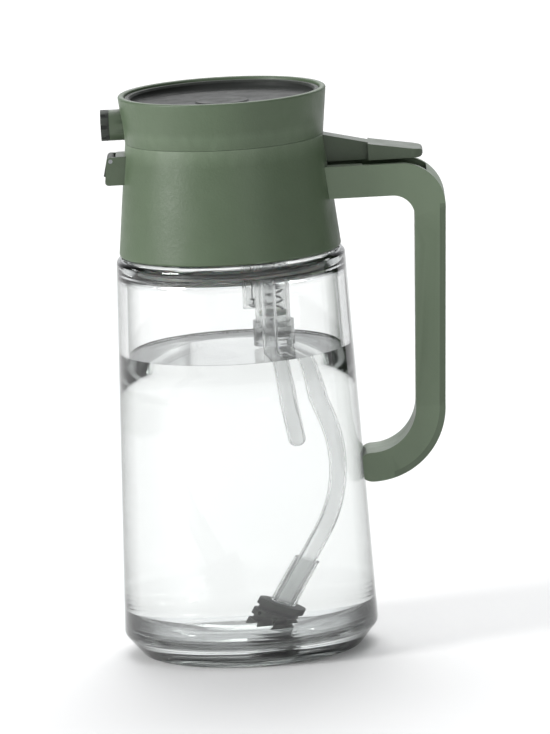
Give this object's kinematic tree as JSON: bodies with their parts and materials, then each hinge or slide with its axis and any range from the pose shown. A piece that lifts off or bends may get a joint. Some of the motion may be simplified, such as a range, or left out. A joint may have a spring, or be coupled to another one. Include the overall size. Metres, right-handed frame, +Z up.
{
  "type": "hand mister",
  "caption": "Glass bottle mister with a screw-on pump head, thumb lever, C-shaped handle, turning nozzle and a pour spout with a gravity flap.",
  "frame": {"origin": "centre of the bottle's foot, on the surface it stands on", "axes": "+Z up along the bottle's axis, -X toward the nozzle, +X toward the handle"},
  "size_m": [0.1135, 0.084, 0.186],
  "materials": {
    "glass": "clear polished glass",
    "clear_plastic": "translucent moulded plastic",
    "sage_plastic": "satin sage green moulded plastic",
    "dark_green_plastic": "satin darker green moulded plastic",
    "strip_plastic": "satin green moulded plastic",
    "dark_grey_plastic": "satin dark grey plastic",
    "natural_plastic": "natural milky plastic",
    "silicone": "soft matte silicone",
    "steel": "stainless steel"
  },
  "bodies": {
    "bottle": {"bottle": "glass"},
    "gasket": {"neck_gasket": "silicone"},
    "head": {"threaded_collar": "natural_plastic", "pump_deck": "natural_plastic", "head_shell": "sage_plastic", "top_cover": "sage_plastic", "top_dish": "dark_grey_plastic", "cover_screws": "steel", "handle": "sage_plastic", "handle_strip": "strip_plastic", "handle_screws": "steel", "strip_screws": "steel", "lever_pin": "steel", "pump_barrel": "clear_plastic", "barrel_cap": "natural_plastic", "ball_retainer": "natural_plastic", "inlet_foot": "natural_plastic", "outlet_valve": "natural_plastic", "discharge_tube": "clear_plastic", "nozzle_body": "dark_green_plastic", "swirl_core": "natural_plastic", "pour_spout": "dark_green_plastic", "flap_pin": "steel", "air_tube": "clear_plastic", "dip_tube": "clear_plastic", "tube_sleeve": "natural_plastic", "filter_weight": "dark_grey_plastic", "filter_screen": "steel"},
    "lever": {"trigger_lever": "dark_green_plastic"},
    "plunger": {"plunger": "natural_plastic", "piston_seal": "silicone", "return_spring": "steel"},
    "nozzle_cap": {"nozzle_cap": "dark_grey_plastic"},
    "flap": {"spout_flap": "dark_grey_plastic"},
    "inlet_ball": {"inlet_ball": "steel"},
    "outlet_ball": {"outlet_ball": "steel"}
  },
  "joints": [
    {"name": "head_lift", "type": "slide", "parent": "bottle", "child": "gasket", "axis": [0, 0, 1], "range_m": [0, 0.0091]},
    {"name": "head_turn", "type": "hinge", "parent": "gasket", "child": "head", "pos_m": [0, 0, 0.148], "axis": [0, 0, 1], "range_deg": [0, 540]},
    {"name": "lever_press", "type": "hinge", "parent": "head", "child": "lever", "pos_m": [-0.01, 0, 0.166], "axis": [0, 1, 0], "range_deg": [0, 6.5], "stiffness_Nm_per_rad": 0.4, "springref_deg": -6.88},
    {"name": "plunger_stroke", "type": "slide", "parent": "head", "child": "plunger", "axis": [0, 0, -1], "range_m": [0, 0.00258], "stiffness_N_per_m": 20, "springref_m": -0.003, "deforming": ["return_spring"]},
    {"name": "nozzle_turn", "type": "hinge", "parent": "head", "child": "nozzle_cap", "pos_m": [-0.0388, 0, 0.1764], "axis": [-1, 0, 0], "range_deg": [0, 90]},
    {"name": "flap_swing", "type": "hinge", "parent": "head", "child": "flap", "pos_m": [-0.0376, 0, 0.1652], "axis": [0, 1, 0], "range_deg": [0, 60]},
    {"name": "inlet_ball_lift", "type": "slide", "parent": "head", "child": "inlet_ball", "axis": [0, 0, 1], "range_m": [0, 0.001]},
    {"name": "outlet_ball_lift", "type": "slide", "parent": "head", "child": "outlet_ball", "axis": [0, 0, 1], "range_m": [0, 0.0008]}
  ],
  "couplings": [
    {"joint": "head_lift", "follows": "head_turn", "m_per_rad": 0.00095493},
    {"joint": "lever_press", "follows": "plunger_stroke", "rad_per_m": 43.86}
  ]
}
